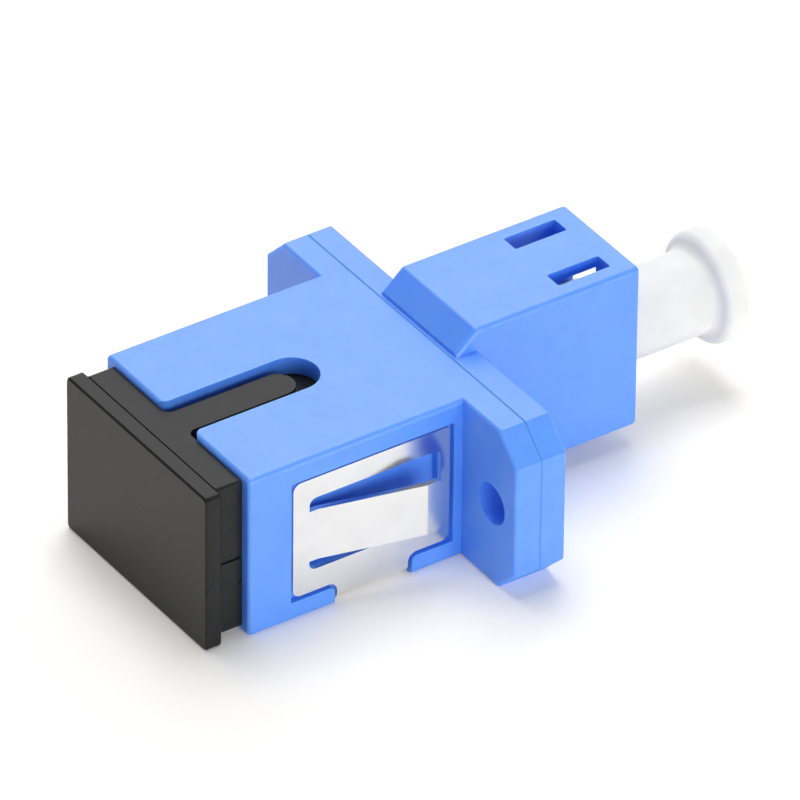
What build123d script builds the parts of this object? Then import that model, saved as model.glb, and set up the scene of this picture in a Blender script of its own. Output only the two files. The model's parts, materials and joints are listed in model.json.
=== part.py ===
from build123d import *

import os

# Hybrid fibre adapter: a large square-plug port on one end, a small latched port on the other.
# Millimetres. +X runs along the optical axis towards the small port, +Z is the keyway side.
# The origin is on the optical axis, in the flange face that meets the panel.

# Large port housing
body_width = 12.85
body_height = 9.45
body_length = 12.55
edge_round = 0.3
end_face_round = 0.24
port_width = 9.05
port_height = 7.45
port_lead_in = 0.25
keyway_width = 2.84
keyway_length = 8.15
keyway_mouth_round = 0.5

# Flange, made of one half from each housing
flange_width = 22.2
flange_half = 1.5
flange_corner = 1.5
flange_edge_round = 0.2
seam_chamfer = 0.05
screw_edge = 2.1
screw_hole = 2.3

# Small port housing
small_width = 6.7
small_length = 11.2
small_floor_z = -3.58
small_roof_z = 6.0
ramp_gap = 0.2
ramp_run = 1.19
socket_size = 4.7
socket_floor_wall = 2.2
lever_width = 2.7
roof_thickness = 0.64
lug_width = 4.9
lug_entry_height = 1.3
window_length = 3.1
window_corner = 0.12
catch_length = 1.2
lever_root_gap = 1.6

# Panel clip, folded from one sheet
sheet = 0.3
clip_length = 9.22
clip_flange_gap = 0.68
clip_top_edge = 1.375
clip_skirt_edge = 1.275
clip_corner = 0.45
clip_flange_corner = 0.15
clip_fit = 0.18
clip_sink = 0.1
clip_seat_corner = 0.1
tab_length = 4.2
tab_offset = 2.6
tab_corner = 0.5
bend_inside = 0.2
clip_window_start = 0.95
clip_window_end = 0.52
clip_window_head = 1.2
clip_window_sill = 1.3
clip_window_corner = 0.4
tongue_width = 3.0
tongue_drop = 0.1
tongue_root = 0.5
tongue_end_gap = 0.75
tip_length = 0.9
tongue_rise = 1.3
tip_rise = 1.25
tongue_tip_round = 0.45
tongue_pocket = 0.45

# Inserts held between the two housings
seat_clearance = 0.03
large_base_width = 10.2
large_base_height = 7.9
large_base_thickness = 1.1
small_base_size = 6.0
small_base_thickness = 1.2
base_chamfer = 0.28
large_barrel_diameter = 4.7
small_barrel_diameter = 2.8
barrel_lip = 0.45
barrel_chamfer = 0.2
barrel_lead_in = 0.3
arm_length = 7.9
arm_height = 2.6
arm_thickness = 0.8
arm_gap = 6.7
hook_rise = 0.6
hook_length = 1.5
hook_flat = 0.3

# Metal holder and the two ceramic sleeves
large_ferrule = 2.5
large_sleeve_diameter = 3.2
large_sleeve_length = 5.7
large_sleeve_slit = 0.4
small_ferrule = 1.25
small_sleeve_diameter = 1.62
small_sleeve_length = 4.6
small_sleeve_slit = 0.22
sleeve_clearance = 0.02
ferrule_clearance = 0.1
holder_wall = 0.3
small_holder_wall = 0.22
collar_diameter = 5.0
collar_thickness = 0.9
holder_web = 0.3
waist_clearance = 0.05
waist_countersink = 0.3
sleeve_play = 0.05

# Dust cap of the large port
cap_clearance = 0.05
plate_side_inset = 0.125
plate_top_inset = 0.3
plate_thickness = 0.95
plate_corner = 0.3
plate_edge_chamfer = 0.1
cap_collar_side_inset = 0.625
cap_collar_top_inset = 0.325
cap_collar_length = 1.47
cap_collar_corner = 0.2
plug_length = 8.9
plug_wall = 0.8
plug_corner = 0.3
key_width = 1.8
key_length = 6.8
key_fillet = 0.45
arm_slot_height = 3.4
arm_slot_length = 5.6
mould_groove_depth = 0.1
mould_groove_height = 0.16
mould_groove_z = -0.15

# Dust cap of the small port
square_clearance = 0.1
square_corner = 0.3
square_plug_gap = 1.0
square_plug_chamfer = 0.15
stem_diameter = 4.5
stem_length = 5.8
stem_rise = 0.5
rim_diameter = 6.0
rim_length = 1.45
rim_end_chamfer = 0.3
rim_flare = 0.5
rim_brow = 0.4
small_cap_bore = 3.0
small_cap_bore_end = 2.6

# Margin for picking edges and for arcs that would fill a whole side
tiny = 0.001

# Places along X that follow from the sizes above
mouth_x = -body_length
seam_x = flange_half
flange_end_x = 2 * flange_half
small_end_x = seam_x + small_length
socket_floor_x = seam_x + socket_floor_wall
window_end_x = small_end_x - catch_length
window_start_x = window_end_x - window_length
keyway_end_x = mouth_x + keyway_length

# Heights and depths that follow from the sizes above
deck_z = body_height / 2
side_y = body_width / 2
screw_y = flange_width / 2 - screw_edge
floor_y = side_y - sheet - clip_sink
channel_floor_z = -deck_z + sheet + clip_sink

# The clip's edges and its window, placed from the housing
clip_end_x = -clip_flange_gap
clip_start_x = clip_end_x - clip_length
clip_top_z = deck_z - clip_top_edge
clip_skirt_z = clip_skirt_edge - deck_z
clip_window_x = clip_start_x + clip_window_start
clip_window_length = clip_length - clip_window_start - clip_window_end
clip_window_top = clip_top_z - clip_window_head
clip_window_bottom = clip_skirt_z + clip_window_sill
tab_start_x = clip_start_x + tab_offset

# The large cap's outside, set in from the housing
plate_width = body_width - 2 * plate_side_inset
plate_height = body_height - plate_top_inset
cap_collar_width = body_width - 2 * cap_collar_side_inset
cap_collar_height = body_height - 2 * cap_collar_top_inset


def block(x0, x1, y0, y1, z0, z1):
    """A cuboid between two opposite corners."""
    centre = Pos((x0 + x1) / 2, (y0 + y1) / 2, (z0 + z1) / 2)
    return centre * Box(x1 - x0, y1 - y0, z1 - z0)


def across(x):
    """The plane square to the optical axis at x, with Y and Z as its own axes."""
    return Plane(origin=(x, 0, 0), x_dir=(0, 1, 0), z_dir=(1, 0, 0))


def along_x(sketch, x0, x1):
    """A sketch in Y and Z, pulled from x0 to x1."""
    return extrude(across(x0) * sketch, amount=x1 - x0)


def along_y(sketch, y0, y1):
    """A sketch in X and Z, pulled from y0 to y1."""
    plane = Plane(origin=(0, y1, 0), x_dir=(1, 0, 0), z_dir=(0, -1, 0))
    return extrude(plane * sketch, amount=y1 - y0)


def along_z(sketch, z0, z1):
    """A sketch in X and Y, pulled from z0 to z1."""
    return extrude(Pos(0, 0, z0) * sketch, amount=z1 - z0)


def turned(points):
    """A ring about the optical axis from its half section, given as X and radius."""
    return revolve(make_face(Polyline(*points, close=True)), Axis.X, 360)


def mirrored_y(shape):
    """The same shape on the other side of the optical axis."""
    return mirror(shape, Plane.XZ)


def flange_plate(x0, x1, outer_x):
    """An eight-sided plate with its outer rim rounded and its two screw holes."""
    outline = Rectangle(flange_width, body_height)
    outline = chamfer(outline.vertices(), flange_corner)
    plate = along_x(outline, x0, x1)
    rim = plate.edges().filter_by_position(Axis.X, outer_x, outer_x)
    plate = fillet(rim, flange_edge_round)
    for side in (-1, 1):
        hole = Pos(side * screw_y, 0) * Circle(screw_hole / 2)
        plate -= along_x(hole, x0, x1)
    return plate


def large_shell():
    """The plain outside of the large housing, with its half of the flange."""
    shell = block(mouth_x, seam_x, -side_y, side_y, -deck_z, deck_z)
    shell = fillet(shell.edges().filter_by(Axis.X), edge_round)
    mouth = shell.faces().sort_by(Axis.X)[0]
    shell = fillet(mouth.edges(), end_face_round)
    shell += flange_plate(0, seam_x, 0)
    seam = shell.faces().sort_by(Axis.X)[-1]
    return chamfer(seam.outer_wire().edges(), seam_chamfer)


def flared_slot(width, tip_x, flare):
    """A slot seen from above: round at its tip, with its sides flared by a radius at the mouth."""
    half = width / 2
    straight_end = tip_x - half
    outline = Pos((mouth_x + straight_end) / 2, 0) * Rectangle(straight_end - mouth_x, width)
    outline += Pos(straight_end, 0) * Circle(half)
    for side in (-1, 1):
        corner = Pos(mouth_x + flare / 2, side * (half + flare / 2)) * Rectangle(flare, flare)
        corner -= Pos(mouth_x + flare, side * (half + flare)) * Circle(flare)
        outline += corner
    return outline


def clip_side_outline(grow, corner, tab_bottom):
    """The clip's side plate with its skirt tab, seen from the side and grown by a gap all round."""
    height = clip_top_z - clip_skirt_z
    middle = Pos((clip_start_x + clip_end_x) / 2, (clip_top_z + clip_skirt_z) / 2)
    plate = middle * RectangleRounded(clip_length + 2 * grow, height + 2 * grow, corner)
    tab_top = clip_skirt_z + clip_corner
    tab_middle = Pos(tab_start_x + tab_length / 2, (tab_bottom + tab_top) / 2)
    outline = plate + tab_middle * Rectangle(tab_length + 2 * grow, tab_top - tab_bottom)
    skirt_z = clip_skirt_z - grow
    skirt = outline.vertices().filter_by_position(Axis.Y, skirt_z - tiny, skirt_z + tiny)
    roots = skirt.filter_by_position(
        Axis.X, tab_start_x - grow - tiny, tab_start_x + tab_length + grow + tiny
    )
    return fillet(roots, tab_corner - grow)


def clip_window():
    """The window in the clip's side plate, in which the tongue stands."""
    middle = Pos(clip_window_x + clip_window_length / 2, (clip_window_top + clip_window_bottom) / 2)
    height = clip_window_top - clip_window_bottom
    return middle * RectangleRounded(clip_window_length, height, clip_window_corner)


def clip_seats():
    """Recesses for the clip on both sides, joined by a channel under the housing."""
    seat = along_y(clip_side_outline(clip_fit, clip_seat_corner, -body_height), floor_y, side_y)
    seat += along_y(clip_window(), floor_y - tongue_pocket, floor_y)
    core_height = clip_skirt_z - channel_floor_z
    core = Pos(0, (clip_skirt_z + channel_floor_z) / 2) * Rectangle(2 * floor_y, core_height)
    core = fillet(core.vertices().group_by(Axis.Y)[0], bend_inside)
    ring = Pos(0, (clip_skirt_z - deck_z) / 2) * Rectangle(body_width, clip_skirt_z + deck_z)
    channel = along_x(ring - core, tab_start_x - clip_fit, tab_start_x + tab_length + clip_fit)
    return seat + mirrored_y(seat) + channel


def sc_housing():
    """The large port's housing, open from its mouth to the seam."""
    port = along_x(Rectangle(port_width, port_height), mouth_x, seam_x)
    wide = Rectangle(port_width + 2 * port_lead_in, port_height + 2 * port_lead_in)
    narrow = Rectangle(port_width, port_height)
    lead = loft([across(mouth_x) * wide, across(mouth_x + port_lead_in) * narrow])
    seat_width = large_base_width + 2 * seat_clearance
    seat_height = large_base_height + 2 * seat_clearance
    seat = along_x(Rectangle(seat_width, seat_height), seam_x - large_base_thickness, seam_x)
    keyway = along_z(flared_slot(keyway_width, keyway_end_x, keyway_mouth_round), 0, deck_z)
    return large_shell() - port - lead - seat - keyway - clip_seats()


def small_shell():
    """The plain outside of the small housing, with its ramp and its half of the flange."""
    ramp_x = seam_x + ramp_gap
    foot_z = deck_z + ramp_gap
    profile = Polyline(
        (ramp_x, small_floor_z),
        (small_end_x, small_floor_z),
        (small_end_x, small_roof_z),
        (ramp_x + ramp_run, small_roof_z),
        (ramp_x, foot_z),
        close=True,
    )
    shell = along_y(make_face(profile), -small_width / 2, small_width / 2)
    long_edges = shell.edges().filter_by(Axis.Y, reverse=True).filter_by(Axis.Z, reverse=True)
    brow = shell.edges().filter_by(Axis.Y).group_by(Axis.Z)[-1].sort_by(Axis.X)[0]
    shell = fillet([*long_edges, brow], edge_round)
    end = shell.faces().sort_by(Axis.X)[-1]
    shell = fillet(end.edges(), end_face_round)
    shell += flange_plate(seam_x, flange_end_x, flange_end_x)
    seam = shell.faces().sort_by(Axis.X)[0]
    return chamfer(seam.outer_wire().edges(), seam_chamfer)


def small_port_cuts():
    """The square socket, the lever's channel, the lugs' way in and their two windows."""
    half = socket_size / 2
    channel_z = small_roof_z - roof_thickness
    lever = lever_width / 2
    lug = lug_width / 2
    cuts = along_x(Rectangle(socket_size, socket_size), socket_floor_x, small_end_x)
    lever_x = socket_floor_x + lever_root_gap
    cuts += block(lever_x, small_end_x, -lever, lever, 0, channel_z)
    cuts += block(window_start_x, small_end_x, -lug, lug, 0, half + lug_entry_height)
    window = RectangleRounded(window_length, lug - lever, window_corner)
    for side in (-1, 1):
        place = Pos((window_start_x + window_end_x) / 2, side * (lever + lug) / 2)
        cuts += along_z(place * window, 0, small_roof_z)
    return cuts


def lc_housing():
    """The small port's housing, from the seam to its mouth."""
    seat_size = small_base_size + 2 * seat_clearance
    seat = along_x(Rectangle(seat_size, seat_size), seam_x, seam_x + small_base_thickness)
    bore = along_x(Circle(small_barrel_diameter / 2 + seat_clearance), seam_x, socket_floor_x)
    return small_shell() - small_port_cuts() - seat - bore


def clip_tongue():
    """The sprung tongue, as a bent strip that stands out from the side plate."""
    root_x = clip_window_x
    outside = side_y - clip_sink
    inside = outside - sheet
    bend_x = root_x + tongue_root
    tip_x = root_x + clip_window_length - tongue_end_gap
    crest_x = tip_x - tip_length
    strip = Polyline(
        (root_x - sheet, inside),
        (bend_x, inside),
        (crest_x, inside + tongue_rise),
        (tip_x, inside + tip_rise),
        (tip_x + sheet * (tongue_rise - tip_rise), outside + tip_rise),
        (crest_x, outside + tongue_rise),
        (bend_x, outside),
        (root_x - sheet, outside),
        close=True,
    )
    low = (clip_window_top + clip_window_bottom) / 2 - tongue_drop - tongue_width / 2
    tongue = along_z(make_face(strip), low, low + tongue_width)
    tip_edges = tongue.edges().filter_by(Axis.Y, tolerance=30).sort_by(Axis.X)[-2:]
    return fillet(tip_edges, tongue_tip_round)


def mounting_clip():
    """The panel clip: two windowed side plates, their tongues and the web that joins them."""
    outside = side_y - clip_sink
    web_z = -deck_z + clip_sink
    bend_z = web_z + sheet + bend_inside
    tight = RectangleRounded(2 * clip_corner, 2 * clip_corner, clip_flange_corner)
    tight = Pos(clip_end_x - clip_corner, clip_top_z - clip_corner) * tight
    side = clip_side_outline(0, clip_corner, bend_z) + tight - clip_window()
    plate = along_y(side, floor_y, outside) + clip_tongue()
    outer = Pos(0, (bend_z + web_z) / 2) * Rectangle(2 * outside, bend_z - web_z)
    outer = fillet(outer.vertices().group_by(Axis.Y)[0], bend_inside + sheet - tiny)
    inner = Pos(0, (bend_z + web_z + sheet) / 2) * Rectangle(2 * floor_y, bend_inside)
    inner = fillet(inner.vertices().group_by(Axis.Y)[0], bend_inside - tiny)
    web = along_x(outer - inner, tab_start_x, tab_start_x + tab_length)
    return plate + mirrored_y(plate) + web


def holder_sizes():
    """Outside radii of the metal holder's large and small tubes."""
    large = large_sleeve_diameter / 2 + sleeve_clearance + holder_wall
    small = small_sleeve_diameter / 2 + sleeve_clearance + small_holder_wall
    return large, small


def hook_arm():
    """One latch arm: a flat beam with a ramped hook that faces the axis."""
    base_x = seam_x - large_base_thickness
    tip_x = base_x - arm_length
    inner = arm_gap / 2
    outer = inner + arm_thickness
    beam = Polyline(
        (base_x, inner),
        (tip_x + hook_length, inner),
        (tip_x + hook_length, inner - hook_rise),
        (tip_x + hook_length - hook_flat, inner - hook_rise),
        (tip_x, inner + hook_flat),
        (tip_x, outer),
        (base_x, outer),
        close=True,
    )
    return along_z(make_face(beam), -arm_height / 2, arm_height / 2)


def sc_latch_insert():
    """The insert behind the large port: base, sleeve barrel and two latch arms."""
    large, _ = holder_sizes()
    base_x = seam_x - large_base_thickness
    sleeve_end_x = seam_x - large_sleeve_length - sleeve_play
    barrel_x = sleeve_end_x - barrel_lip
    radius = large_barrel_diameter / 2
    base = along_x(Rectangle(large_base_width, large_base_height), base_x, seam_x)
    base = chamfer(base.edges().filter_by(Axis.X), base_chamfer)
    barrel = turned(
        [
            (barrel_x, 0),
            (barrel_x, radius - barrel_chamfer),
            (barrel_x + barrel_chamfer, radius),
            (base_x, radius),
            (base_x, 0),
        ]
    )
    arm = hook_arm()
    insert = base + barrel + arm + mirrored_y(arm)
    throat = large_ferrule / 2 + ferrule_clearance
    passage = turned(
        [
            (barrel_x, 0),
            (barrel_x, throat + barrel_lead_in),
            (sleeve_end_x, throat),
            (sleeve_end_x, large + seat_clearance),
            (seam_x - collar_thickness / 2, large + seat_clearance),
            (seam_x - collar_thickness / 2, collar_diameter / 2 + seat_clearance),
            (seam_x, collar_diameter / 2 + seat_clearance),
            (seam_x, 0),
        ]
    )
    return insert - passage


def lc_sleeve_barrel():
    """The insert behind the small port: a square base and its sleeve barrel."""
    _, small = holder_sizes()
    base_end = seam_x + small_base_thickness
    sleeve_end_x = seam_x + holder_web + small_sleeve_length + sleeve_play
    barrel_x = sleeve_end_x + barrel_lip
    radius = small_barrel_diameter / 2
    base = along_x(Rectangle(small_base_size, small_base_size), seam_x, base_end)
    base = chamfer(base.edges().filter_by(Axis.X), base_chamfer)
    barrel = turned(
        [
            (base_end, 0),
            (base_end, radius),
            (barrel_x - barrel_chamfer, radius),
            (barrel_x, radius - barrel_chamfer),
            (barrel_x, 0),
        ]
    )
    throat = small_ferrule / 2 + ferrule_clearance
    passage = turned(
        [
            (seam_x, 0),
            (seam_x, collar_diameter / 2 + seat_clearance),
            (seam_x + collar_thickness / 2, collar_diameter / 2 + seat_clearance),
            (seam_x + collar_thickness / 2, small + seat_clearance),
            (sleeve_end_x, small + seat_clearance),
            (sleeve_end_x, throat),
            (barrel_x, throat + barrel_lead_in),
            (barrel_x, 0),
        ]
    )
    return base + barrel - passage


def sleeve_holder():
    """The stepped metal body that lines up the two sleeves, with its clamped collar."""
    large, small = holder_sizes()
    large_bore = large_sleeve_diameter / 2 + sleeve_clearance
    small_bore = small_sleeve_diameter / 2 + sleeve_clearance
    waist = small_ferrule / 2 + waist_clearance
    large_end = seam_x - large_sleeve_length + sleeve_play
    small_end = seam_x + holder_web + small_sleeve_length - sleeve_play
    collar = collar_diameter / 2
    half = collar_thickness / 2
    return turned(
        [
            (large_end, large_bore),
            (large_end, large),
            (seam_x - half, large),
            (seam_x - half, collar),
            (seam_x + half, collar),
            (seam_x + half, small),
            (small_end, small),
            (small_end, small_bore),
            (seam_x + holder_web, small_bore),
            (seam_x + holder_web, waist),
            (seam_x, waist + waist_countersink),
            (seam_x, large_bore),
        ]
    )


def split_sleeve(x0, x1, inside, outside, slit):
    """A ceramic tube slit along its top, so that it grips a ferrule."""
    tube = along_x(Circle(outside / 2) - Circle(inside / 2), x0, x1)
    return tube - block(x0, x1, -slit / 2, slit / 2, 0, outside)


def sc_dust_cap():
    """The large port's cap: end plate, collar, keyed hollow plug and slots for the arms."""
    plate_x = mouth_x - cap_collar_length - plate_thickness
    collar_x = plate_x + plate_thickness
    plug_end_x = mouth_x + plug_length
    plug_width = port_width - 2 * cap_clearance
    plug_height = port_height - 2 * cap_clearance
    plate_z = plate_height / 2 - deck_z
    outline = Pos(0, plate_z) * RectangleRounded(plate_width, plate_height, plate_corner)
    plate = along_x(outline, plate_x, collar_x)
    plate = chamfer(plate.edges().filter_by(Axis.X, reverse=True), plate_edge_chamfer)
    collar = along_x(
        RectangleRounded(cap_collar_width, cap_collar_height, cap_collar_corner), collar_x, mouth_x
    )
    plug = along_x(RectangleRounded(plug_width, plug_height, plug_corner), mouth_x, plug_end_x)
    key = flared_slot(key_width, mouth_x + key_length, key_fillet)
    cap = plate + collar + plug + along_z(key, plug_height / 2 - plug_corner, cap_collar_height / 2)
    hollow = Rectangle(plug_width - 2 * plug_wall, plug_height - 2 * plug_wall)
    cap -= along_x(hollow, collar_x, plug_end_x)
    cap -= block(
        plug_end_x - arm_slot_length,
        plug_end_x,
        -plug_width,
        plug_width,
        -arm_slot_height / 2,
        arm_slot_height / 2,
    )
    groove_z = mould_groove_z + mould_groove_height / 2
    for side in (-1, 1):
        face_y = side * cap_collar_width / 2
        y0, y1 = sorted((face_y, face_y - side * mould_groove_depth))
        cap -= block(collar_x, mouth_x, y0, y1, groove_z - mould_groove_height, groove_z)
    return cap


def lc_dust_cap():
    """The small port's cap: a square plug, then a round stem that swells into a rounded rim."""
    plug_size = socket_size - 2 * square_clearance
    plug_x = socket_floor_x + square_plug_gap
    stem_end = small_end_x + stem_length
    rim_end = stem_end + rim_length
    stem = stem_diameter / 2
    rim = rim_diameter / 2
    plug = along_x(RectangleRounded(plug_size, plug_size, square_corner), plug_x, small_end_x)
    plug = chamfer(plug.faces().sort_by(Axis.X)[0].edges(), square_plug_chamfer)
    flare_start = (stem_end - rim_flare, stem)
    rim_start = (stem_end + rim_brow, rim)
    halfway = ((flare_start[0] + rim_start[0]) / 2, (stem + rim) / 2)
    outline = [
        Line((small_end_x, 0), (small_end_x, stem)),
        Line((small_end_x, stem), flare_start),
        TangentArc(flare_start, halfway, tangent=(1, 0)),
        TangentArc(rim_start, halfway, tangent=(-1, 0)),
        Line(rim_start, (rim_end - rim_end_chamfer, rim)),
        Line((rim_end - rim_end_chamfer, rim), (rim_end, rim - rim_end_chamfer)),
        Line((rim_end, rim - rim_end_chamfer), (rim_end, 0)),
        Line((rim_end, 0), (small_end_x, 0)),
    ]
    stem_body = Pos(0, 0, stem_rise) * revolve(make_face(outline), Axis.X, 360)
    bore = along_x(Circle(small_cap_bore / 2), plug_x, stem_end - small_cap_bore_end)
    return plug + stem_body - bore


def write(name, shape):
    """One file for each piece."""
    export_step(shape, f"parts/{name}.step")


os.makedirs("parts", exist_ok=True)
write("sc_housing", sc_housing())
write("lc_housing", lc_housing())
write("mounting_clip", mounting_clip())
write("sc_latch_insert", sc_latch_insert())
write("lc_sleeve_barrel", lc_sleeve_barrel())
write("sleeve_holder", sleeve_holder())
write(
    "sc_split_sleeve",
    split_sleeve(
        seam_x - large_sleeve_length, seam_x, large_ferrule, large_sleeve_diameter, large_sleeve_slit
    ),
)
write(
    "lc_split_sleeve",
    split_sleeve(
        seam_x + holder_web,
        seam_x + holder_web + small_sleeve_length,
        small_ferrule,
        small_sleeve_diameter,
        small_sleeve_slit,
    ),
)
write("sc_dust_cap", sc_dust_cap())
write("lc_dust_cap", lc_dust_cap())
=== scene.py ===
import json
import math

import bpy
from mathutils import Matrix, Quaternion, Vector


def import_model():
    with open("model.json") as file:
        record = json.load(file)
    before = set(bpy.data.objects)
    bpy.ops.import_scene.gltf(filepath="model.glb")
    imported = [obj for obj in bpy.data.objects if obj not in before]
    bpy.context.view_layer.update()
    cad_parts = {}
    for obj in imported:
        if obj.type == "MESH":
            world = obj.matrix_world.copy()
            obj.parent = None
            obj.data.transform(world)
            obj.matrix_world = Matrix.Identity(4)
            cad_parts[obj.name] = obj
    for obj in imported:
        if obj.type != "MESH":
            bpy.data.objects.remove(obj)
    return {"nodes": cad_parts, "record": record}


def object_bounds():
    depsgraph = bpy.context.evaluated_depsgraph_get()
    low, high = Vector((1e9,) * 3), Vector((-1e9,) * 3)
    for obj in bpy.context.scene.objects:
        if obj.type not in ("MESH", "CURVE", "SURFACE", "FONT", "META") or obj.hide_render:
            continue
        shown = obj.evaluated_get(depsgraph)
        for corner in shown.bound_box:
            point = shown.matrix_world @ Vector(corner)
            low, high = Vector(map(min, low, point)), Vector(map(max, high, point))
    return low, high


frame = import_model()
cad_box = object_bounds()

# Lengths are metres. +X runs along the ports and +Z is up, the keyway side.
MM = 0.001

# The camera that was fitted to the photograph, with its angles in degrees
IMAGE_SIDE_PX = 800
SENSOR_MM = 36.0
FOCAL_PX = 12808.0
CAMERA_DISTANCE = 635.27 * MM
CAMERA_AZIMUTH = -34.285
CAMERA_ELEVATION = 35.372
CAMERA_ROLL = 0.627
CAMERA_NEAR = 0.02
CAMERA_FAR = 10.0
AIM_POINT = Vector((1.45 * MM, 0, 0))
AIM_PX = (413.56, 405.33)

# Floor, lamps and surroundings. A glow, a lift or a radiance of 1 is white.
FLOOR_HALF = 1.5
FLOOR_COLOUR = (0.95, 0.93, 0.89)
FLOOR_LIFT = 0.12
LAMP_DISTANCE = 0.5
BACKDROP_GLOW = 1.0
CEILING_GLOW = 0.2

# Heights, as sines of the elevation, where the backdrop starts to dim and where the ceiling begins
BACKDROP_END = 0.05
CEILING_START = 0.35

# Most of a noise's values lie in these ranges, which are stretched over a colour or a value
COLOUR_SPAN = (0.35, 0.65)
VALUE_SPAN = (0.3, 0.7)


def camera():
    """The photograph's view, with a little roll and the aim point beside the picture's middle."""
    azimuth, elevation = math.radians(CAMERA_AZIMUTH), math.radians(CAMERA_ELEVATION)
    back = Vector(
        (
            math.sin(azimuth) * math.cos(elevation),
            -math.cos(azimuth) * math.cos(elevation),
            math.sin(elevation),
        )
    )
    turn = (-back).to_track_quat("-Z", "Y") @ Quaternion((0, 0, 1), math.radians(CAMERA_ROLL))
    right = turn @ Vector((1, 0, 0))
    up = turn @ Vector((0, 1, 0))
    metres_per_px = CAMERA_DISTANCE / FOCAL_PX
    offset_x = (AIM_PX[0] - IMAGE_SIDE_PX / 2) * metres_per_px
    offset_y = (AIM_PX[1] - IMAGE_SIDE_PX / 2) * metres_per_px
    data = bpy.data.cameras.new("camera")
    data.sensor_width = SENSOR_MM
    data.lens = FOCAL_PX / IMAGE_SIDE_PX * SENSOR_MM
    data.clip_start = CAMERA_NEAR
    data.clip_end = CAMERA_FAR
    obj = bpy.data.objects.new("camera", data)
    bpy.context.scene.collection.objects.link(obj)
    obj.rotation_mode = "QUATERNION"
    obj.rotation_quaternion = turn
    obj.location = AIM_POINT + back * CAMERA_DISTANCE - right * offset_x + up * offset_y
    bpy.context.scene.camera = obj


def area_lamp(name, direction, side, radiance):
    """A square soft box in this direction from the object, facing it."""
    data = bpy.data.lights.new(name, "AREA")
    data.shape = "SQUARE"
    data.size = side
    data.energy = math.pi * side * side * radiance
    obj = bpy.data.objects.new(name, data)
    bpy.context.scene.collection.objects.link(obj)
    place = Vector(direction).normalized() * LAMP_DISTANCE
    obj.location = place
    obj.rotation_mode = "QUATERNION"
    obj.rotation_quaternion = (-place).to_track_quat("-Z", "Y")


def lamps():
    """A strong box overhead, one behind for the top's sheen and a low one for the near side."""
    area_lamp("soft_top", direction=(0.06, 0.2, 1), side=0.3, radiance=5.6)
    area_lamp("soft_back", direction=(0.46, 0.67, 0.58), side=0.42, radiance=1.8)
    area_lamp("soft_front", direction=(0, -1, 0.1), side=0.36, radiance=5.2)


def seen_ray(nodes, links):
    """1 for rays from the camera and for mirrored and passed rays, else 0."""
    path = nodes.new("ShaderNodeLightPath")
    first = nodes.new("ShaderNodeMath")
    first.operation = "MAXIMUM"
    links.new(path.outputs["Is Camera Ray"], first.inputs[0])
    links.new(path.outputs["Is Glossy Ray"], first.inputs[1])
    second = nodes.new("ShaderNodeMath")
    second.operation = "MAXIMUM"
    links.new(first.outputs[0], second.inputs[0])
    links.new(path.outputs["Is Transmission Ray"], second.inputs[1])
    return second.outputs[0]


def world():
    """A plain white studio: a bright backdrop all round the horizon under a dimmer ceiling."""
    made = bpy.data.worlds.new("studio")
    bpy.context.scene.world = made
    made.use_nodes = True
    nodes, links = made.node_tree.nodes, made.node_tree.links
    nodes.clear()
    direction = nodes.new("ShaderNodeTexCoord").outputs["Generated"]
    parts = nodes.new("ShaderNodeSeparateXYZ")
    links.new(direction, parts.inputs[0])
    strength = nodes.new("ShaderNodeMapRange")
    strength.interpolation_type = "SMOOTHSTEP"
    strength.inputs["From Min"].default_value = BACKDROP_END
    strength.inputs["From Max"].default_value = CEILING_START
    strength.inputs["To Min"].default_value = BACKDROP_GLOW
    strength.inputs["To Max"].default_value = CEILING_GLOW
    links.new(parts.outputs["Z"], strength.inputs["Value"])
    background = nodes.new("ShaderNodeBackground")
    background.inputs["Color"].default_value = (1, 1, 1, 1)
    links.new(strength.outputs["Result"], background.inputs["Strength"])
    output = nodes.new("ShaderNodeOutputWorld")
    links.new(background.outputs[0], output.inputs["Surface"])


def floor():
    """A plain pale floor under the part, lifted to white where it is seen, with its shadow kept."""
    mesh = bpy.data.meshes.new("floor")
    low, half = cad_box[0].z, FLOOR_HALF
    corners = [(-half, -half, low), (half, -half, low), (half, half, low), (-half, half, low)]
    mesh.from_pydata(corners, [], [(0, 1, 2, 3)])
    obj = bpy.data.objects.new("floor", mesh)
    bpy.context.scene.collection.objects.link(obj)
    made = bpy.data.materials.new("floor_white")
    made.use_nodes = True
    nodes, links = made.node_tree.nodes, made.node_tree.links
    nodes.clear()
    paper = nodes.new("ShaderNodeBsdfDiffuse")
    paper.inputs["Color"].default_value = (*FLOOR_COLOUR, 1)
    lift = nodes.new("ShaderNodeEmission")
    lift.inputs["Color"].default_value = (1, 1, 1, 1)
    scale = nodes.new("ShaderNodeMath")
    scale.operation = "MULTIPLY"
    scale.inputs[1].default_value = FLOOR_LIFT
    links.new(seen_ray(nodes, links), scale.inputs[0])
    links.new(scale.outputs[0], lift.inputs["Strength"])
    both = nodes.new("ShaderNodeAddShader")
    links.new(paper.outputs[0], both.inputs[0])
    links.new(lift.outputs[0], both.inputs[1])
    output = nodes.new("ShaderNodeOutputMaterial")
    links.new(both.outputs[0], output.inputs["Surface"])
    mesh.materials.append(made)


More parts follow.
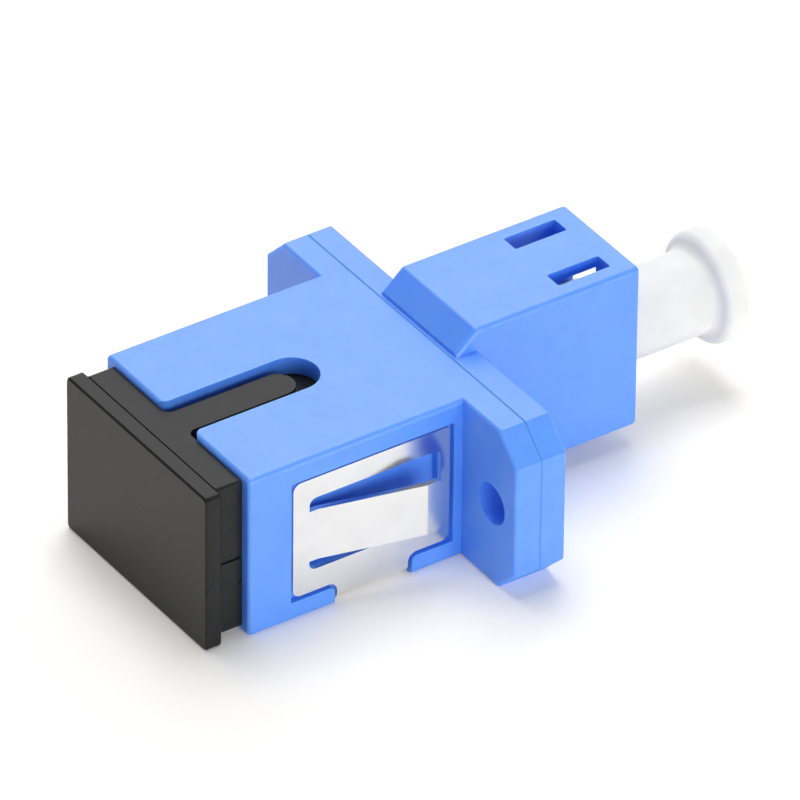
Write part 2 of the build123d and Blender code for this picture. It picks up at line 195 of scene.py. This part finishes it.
class Finish:
    """A material under construction: its shader and the texture nodes that feed it."""

    def __init__(self, name, **sockets):
        self.material = bpy.data.materials.new(name)
        self.material.use_nodes = True
        self.nodes = self.material.node_tree.nodes
        self.links = self.material.node_tree.links
        self.nodes.clear()
        self.shader = self.nodes.new("ShaderNodeBsdfPrincipled")
        output = self.nodes.new("ShaderNodeOutputMaterial")
        self.links.new(self.shader.outputs[0], output.inputs["Surface"])
        self.place = self.nodes.new("ShaderNodeTexCoord").outputs["Object"]
        for socket, value in sockets.items():
            self.shader.inputs[socket.replace("_", " ")].default_value = value

    def noise(self, size_mm, detail=2, stretch=(1, 1, 1)):
        """Noise with features of about this size, drawn out along the axes by stretch."""
        mapping = self.nodes.new("ShaderNodeMapping")
        mapping.inputs["Scale"].default_value = [1 / (size_mm * MM * s) for s in stretch]
        self.links.new(self.place, mapping.inputs["Vector"])
        texture = self.nodes.new("ShaderNodeTexNoise")
        texture.inputs["Scale"].default_value = 1.0
        texture.inputs["Detail"].default_value = detail
        self.links.new(mapping.outputs[0], texture.inputs["Vector"])
        return texture.outputs["Fac"]

    def colour(self, noise, *ends):
        """The base colour, which runs between two colours with the noise."""
        ramp = self.nodes.new("ShaderNodeValToRGB")
        for element, position, end in zip(ramp.color_ramp.elements, COLOUR_SPAN, ends):
            element.position = position
            element.color = (*end, 1)
        self.links.new(noise, ramp.inputs["Fac"])
        self.links.new(ramp.outputs["Color"], self.shader.inputs["Base Color"])

    def roughness(self, noise, low, high):
        """The roughness, which runs from low to high with the noise."""
        span = self.nodes.new("ShaderNodeMapRange")
        span.inputs["From Min"].default_value, span.inputs["From Max"].default_value = VALUE_SPAN
        span.inputs["To Min"].default_value = low
        span.inputs["To Max"].default_value = high
        self.links.new(noise, span.inputs["Value"])
        self.links.new(span.outputs["Result"], self.shader.inputs["Roughness"])

    def bump(self, *layers):
        """Relief from layers of (noise, depth in mm), one over the other."""
        normal = None
        for noise, depth_mm in layers:
            bump = self.nodes.new("ShaderNodeBump")
            bump.inputs["Strength"].default_value = 1.0
            bump.inputs["Distance"].default_value = depth_mm * MM
            self.links.new(noise, bump.inputs["Height"])
            if normal is not None:
                self.links.new(normal, bump.inputs["Normal"])
            normal = bump.outputs["Normal"]
        self.links.new(normal, self.shader.inputs["Normal"])


def blue_plastic():
    """Satin blue moulding, a little translucent: a faint flow mottle and a fine eroded grain."""
    made = Finish(
        "blue_moulded",
        Specular_IOR_Level=1.0,
        IOR=1.6,
        Subsurface_Weight=0.5,
        Subsurface_Radius=(0.12, 0.4, 1.0),
        Subsurface_Scale=0.9 * MM,
    )
    made.colour(made.noise(2.2), (0.062, 0.284, 0.98), (0.076, 0.304, 0.995))
    made.roughness(made.noise(0.5), 0.46, 0.54)
    made.bump((made.noise(0.12), 0.0034), (made.noise(2.4), 0.006))
    return made.material


def black_plastic():
    """Satin black moulding with a finely polished skin."""
    made = Finish("black_moulded", Specular_IOR_Level=0.2, IOR=1.5)
    made.colour(made.noise(0.9), (0.014, 0.014, 0.014), (0.017, 0.017, 0.017))
    made.roughness(made.noise(0.9), 0.27, 0.32)
    made.bump((made.noise(0.6, detail=0), 0.0005), (made.noise(3.0, detail=0), 0.003))
    return made.material


def white_plastic():
    """Soft milky moulding that light sinks into a little."""
    made = Finish(
        "white_moulded",
        Specular_IOR_Level=0.4,
        IOR=1.5,
        Subsurface_Weight=0.6,
        Subsurface_Radius=(1.0, 0.95, 0.9),
        Subsurface_Scale=1.8 * MM,
    )
    made.colour(made.noise(1.2), (0.76, 0.76, 0.755), (0.79, 0.79, 0.785))
    made.roughness(made.noise(0.4), 0.36, 0.46)
    made.bump((made.noise(0.14), 0.002), (made.noise(1.8), 0.004))
    return made.material


def spring_steel():
    """Bright rolled sheet: fine streaks along its length and a softly uneven tone."""
    made = Finish("rolled_steel", Metallic=1.0)
    streaks = made.noise(0.05, detail=3, stretch=(40, 1, 1))
    cloud = made.noise(1.5)
    made.colour(cloud, (0.84, 0.84, 0.83), (0.88, 0.88, 0.87))
    made.roughness(streaks, 0.15, 0.21)
    made.bump((streaks, 0.00008), (cloud, 0.0015))
    return made.material


def insert_plastic():
    """Natural pale engineering plastic with a fine grain."""
    made = Finish(
        "insert_moulded",
        Specular_IOR_Level=0.5,
        IOR=1.5,
        Subsurface_Weight=0.2,
        Subsurface_Scale=0.4 * MM,
    )
    made.colour(made.noise(0.9), (0.64, 0.65, 0.66), (0.72, 0.73, 0.74))
    made.roughness(made.noise(0.4), 0.38, 0.5)
    made.bump((made.noise(0.12), 0.002))
    return made.material


def turned_metal():
    """Turned brass: fine rings round the optical axis."""
    made = Finish("turned_brass", Metallic=1.0)
    rings = made.noise(0.04, stretch=(1, 400, 400))
    made.colour(made.noise(0.8), (0.66, 0.52, 0.27), (0.74, 0.60, 0.33))
    made.roughness(rings, 0.18, 0.34)
    made.bump((rings, 0.001))
    return made.material


def sleeve_ceramic():
    """Polished white ceramic under a thin clear gloss."""
    made = Finish(
        "polished_ceramic",
        Specular_IOR_Level=0.8,
        IOR=1.5,
        Coat_Weight=0.3,
        Coat_Roughness=0.05,
    )
    made.colour(made.noise(0.5), (0.82, 0.82, 0.79), (0.88, 0.88, 0.85))
    made.roughness(made.noise(0.2), 0.1, 0.18)
    made.bump((made.noise(0.08), 0.0006))
    return made.material


FINISHES = {
    "blue_plastic": blue_plastic,
    "black_plastic": black_plastic,
    "white_plastic": white_plastic,
    "spring_steel": spring_steel,
    "insert_plastic": insert_plastic,
    "holder_metal": turned_metal,
    "sleeve_ceramic": sleeve_ceramic,
}


def dress():
    """Each CAD node takes the finish of its own material slot."""
    made = {slot: make() for slot, make in FINISHES.items()}
    for row in frame["record"]["subparts"]:
        obj = frame["nodes"][row["node"]]
        obj.data.materials.clear()
        obj.data.materials.append(made[row["material_slot"]])


camera()
lamps()
world()
floor()
dress()
bpy.context.scene.view_settings.view_transform = "Standard"
